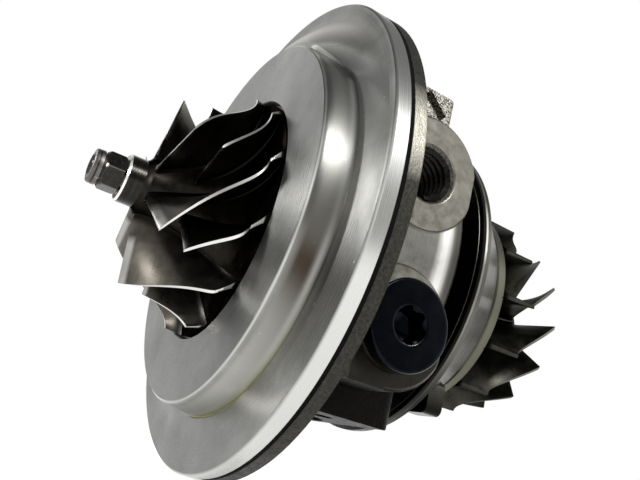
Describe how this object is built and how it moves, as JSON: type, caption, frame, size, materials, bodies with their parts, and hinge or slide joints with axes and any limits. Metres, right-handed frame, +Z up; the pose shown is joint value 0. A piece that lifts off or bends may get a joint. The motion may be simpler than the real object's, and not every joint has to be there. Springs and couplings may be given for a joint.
{
  "type": "turbo cartridge",
  "caption": "Turbocharger centre section: finned compressor and turbine wheels on one shaft, floating bushes, and a water-cooled cast housing with a scroll backplate.",
  "frame": {"origin": "on the shaft axis at the back of the backplate's pilot rim", "axes": "+X along the shaft towards the compressor, +Z up as installed with the oil drain below, +Y towards the water ports"},
  "size_m": [0.1074, 0.102, 0.102],
  "materials": {
    "cast_housing": "nickel grey casting, machined on the core and flanges",
    "turned_aluminium": "lathe-turned satin with a polished rim",
    "seal_rubber": "matt black",
    "black_steel": "black oxide",
    "sheet_steel": "pressed sheet",
    "bearing_bronze": "fine turned",
    "seal_ring_iron": "ground",
    "spring_steel": "oiled",
    "shield_steel": "spun satin",
    "plug_black": "black oxide with a worn edge",
    "washer_aluminium": "stamped",
    "shaft_steel": "ground",
    "turbine_alloy": "dark investment casting with turned edges",
    "wheel_aluminium": "grey casting with bright machined blade edges",
    "nut_steel": "dark steel"
  },
  "bodies": {
    "housing": {"bearing_housing": "cast_housing", "backplate": "turned_aluminium", "backplate_seal": "seal_rubber", "backplate_screws": "black_steel", "oil_deflector": "sheet_steel", "thrust_bearing": "bearing_bronze", "thrust_bearing_screws": "black_steel", "compressor_seal_ring": "seal_ring_iron", "turbine_seal_ring": "seal_ring_iron", "compressor_bearing_circlips": "spring_steel", "turbine_bearing_circlips": "spring_steel", "heat_shield": "shield_steel", "port_plug": "plug_black", "port_plug_washer": "washer_aluminium"},
    "rotor": {"shaft": "shaft_steel", "turbine_wheel": "turbine_alloy", "compressor_wheel": "wheel_aluminium", "compressor_nut": "nut_steel", "oil_flinger": "shaft_steel", "thrust_collar": "shaft_steel"},
    "front_bush": {"compressor_journal_bearing": "bearing_bronze"},
    "rear_bush": {"turbine_journal_bearing": "bearing_bronze"}
  },
  "joints": [
    {"name": "rotor_spin", "type": "hinge", "parent": "housing", "child": "rotor", "pos_m": [0, 0, 0], "axis": [1, 0, 0], "continuous": true},
    {"name": "front_bush_spin", "type": "hinge", "parent": "housing", "child": "front_bush", "pos_m": [-0.0141, 0, 0], "axis": [1, 0, 0], "continuous": true},
    {"name": "rear_bush_spin", "type": "hinge", "parent": "housing", "child": "rear_bush", "pos_m": [-0.0311, 0, 0], "axis": [1, 0, 0], "continuous": true}
  ]
}
